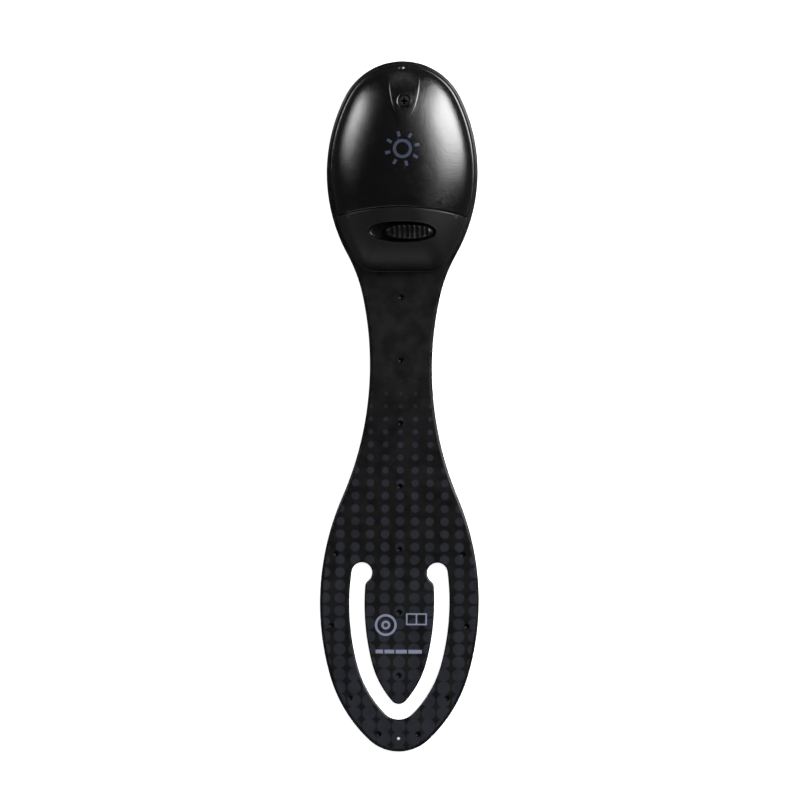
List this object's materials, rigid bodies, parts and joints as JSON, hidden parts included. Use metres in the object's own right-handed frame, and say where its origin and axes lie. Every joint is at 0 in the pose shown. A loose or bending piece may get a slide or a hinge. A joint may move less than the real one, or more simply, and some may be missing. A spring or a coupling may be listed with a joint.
{
  "type": "clip on reading lamp",
  "caption": "Flat clip-on book light: an oval head with a lens and a battery door on a bendable strip that widens into a spoon-shaped page clip with a springy tongue.",
  "frame": {"origin": "centre of the lamp's outline on the floor plane, under its light face", "axes": "+Y along the strip toward the head, +X to the right seen from the battery side, +Z from the light face to the battery side"},
  "size_m": [0.0426, 0.185, 0.0139],
  "materials": {
    "soft_skin": "matte, fine grain, grey dot print toward the clip end",
    "core_metal": "soft annealed plate",
    "shell_plastic": "satin black, fine moulded grain",
    "knob_plastic": "matte black, ribbed",
    "inner_plastic": "moulded, unpolished",
    "lens_clear": "clear moulded lens",
    "reflector_metal": "bright vacuum plated",
    "led_yellow": "phosphor yellow package",
    "board_resin": "solder resist",
    "cell_steel": "plated steel case",
    "contact_brass": "stamped, plated",
    "screw_steel": "dark plated steel",
    "foam_pad": "closed cell foam"
  },
  "bodies": {
    "clip": {"clip_frame": "soft_skin", "clip_core": "core_metal"},
    "tongue": {"clip_tongue": "soft_skin", "tongue_core": "core_metal"},
    "head": {"head_skin": "soft_skin", "root_core": "core_metal", "front_chassis": "inner_plastic", "lens": "lens_clear", "lens_bezel": "shell_plastic", "reflector": "reflector_metal", "led": "led_yellow", "circuit_board": "board_resin", "board_screws": "screw_steel", "resistor": "inner_plastic", "coin_cell_1": "cell_steel", "coin_cell_2": "cell_steel", "cell_contact_negative": "contact_brass", "cell_contact_positive": "contact_brass", "rear_cover": "shell_plastic", "cover_screws": "screw_steel", "screw_insert": "contact_brass", "switch_housing": "inner_plastic", "switch_terminals": "contact_brass"},
    "switch": {"switch_actuator": "inner_plastic", "switch_contact": "contact_brass", "switch_knob": "knob_plastic"},
    "door": {"battery_door": "shell_plastic", "door_foam_pad": "foam_pad"},
    "door_screw": {"battery_screw": "screw_steel"},
    "link_1": {"neck_skin_1": "soft_skin", "neck_core_1": "core_metal"},
    "link_2": {"neck_skin_2": "soft_skin", "neck_core_2": "core_metal"},
    "link_3": {"neck_skin_3": "soft_skin", "neck_core_3": "core_metal"},
    "link_4": {"neck_skin_4": "soft_skin", "neck_core_4": "core_metal"},
    "link_5": {"neck_skin_5": "soft_skin", "neck_core_5": "core_metal"},
    "link_6": {"neck_skin_6": "soft_skin", "neck_core_6": "core_metal"},
    "link_7": {"neck_skin_7": "soft_skin", "neck_core_7": "core_metal"},
    "link_8": {"neck_skin_8": "soft_skin", "neck_core_8": "core_metal"}
  },
  "joints": [
    {"name": "neck_bend_9", "type": "hinge", "parent": "clip", "child": "link_8", "pos_m": [0, -0.03408, 0.001], "axis": [1, 0, 0], "range_deg": [-20, 20]},
    {"name": "neck_bend_8", "type": "hinge", "parent": "link_8", "child": "link_7", "pos_m": [0, -0.02562, 0.001], "axis": [1, 0, 0], "range_deg": [-20, 20]},
    {"name": "neck_bend_7", "type": "hinge", "parent": "link_7", "child": "link_6", "pos_m": [0, -0.01717, 0.001], "axis": [1, 0, 0], "range_deg": [-20, 20]},
    {"name": "neck_bend_6", "type": "hinge", "parent": "link_6", "child": "link_5", "pos_m": [0, -0.00873, 0.001], "axis": [1, 0, 0], "range_deg": [-20, 20]},
    {"name": "neck_bend_5", "type": "hinge", "parent": "link_5", "child": "link_4", "pos_m": [0, -0.00028, 0.001], "axis": [1, 0, 0], "range_deg": [-20, 20]},
    {"name": "neck_bend_4", "type": "hinge", "parent": "link_4", "child": "link_3", "pos_m": [0, 0.00817, 0.001], "axis": [1, 0, 0], "range_deg": [-20, 20]},
    {"name": "neck_bend_3", "type": "hinge", "parent": "link_3", "child": "link_2", "pos_m": [0, 0.01663, 0.001], "axis": [1, 0, 0], "range_deg": [-20, 20]},
    {"name": "neck_bend_2", "type": "hinge", "parent": "link_2", "child": "link_1", "pos_m": [0, 0.02508, 0.001], "axis": [1, 0, 0], "range_deg": [-20, 20]},
    {"name": "neck_bend_1", "type": "hinge", "parent": "link_1", "child": "head", "pos_m": [0, 0.03352, 0.001], "axis": [1, 0, 0], "range_deg": [-20, 20]},
    {"name": "tongue_flex", "type": "hinge", "parent": "clip", "child": "tongue", "pos_m": [0, -0.0446, 0.001], "axis": [1, 0, 0], "range_deg": [-18, 18], "stiffness_Nm_per_rad": 0.2},
    {"name": "switch_slide", "type": "slide", "parent": "head", "child": "switch", "axis": [1, 0, 0], "range_m": [-0.004, 0]},
    {"name": "door_lift", "type": "slide", "parent": "head", "child": "door", "axis": [0, 0, 1], "range_m": [0, 0.02]},
    {"name": "door_screw_turn", "type": "hinge", "parent": "door", "child": "door_screw", "pos_m": [0.0004, 0.08155, 0.0106], "axis": [0, 0, 1], "continuous": true}
  ]
}
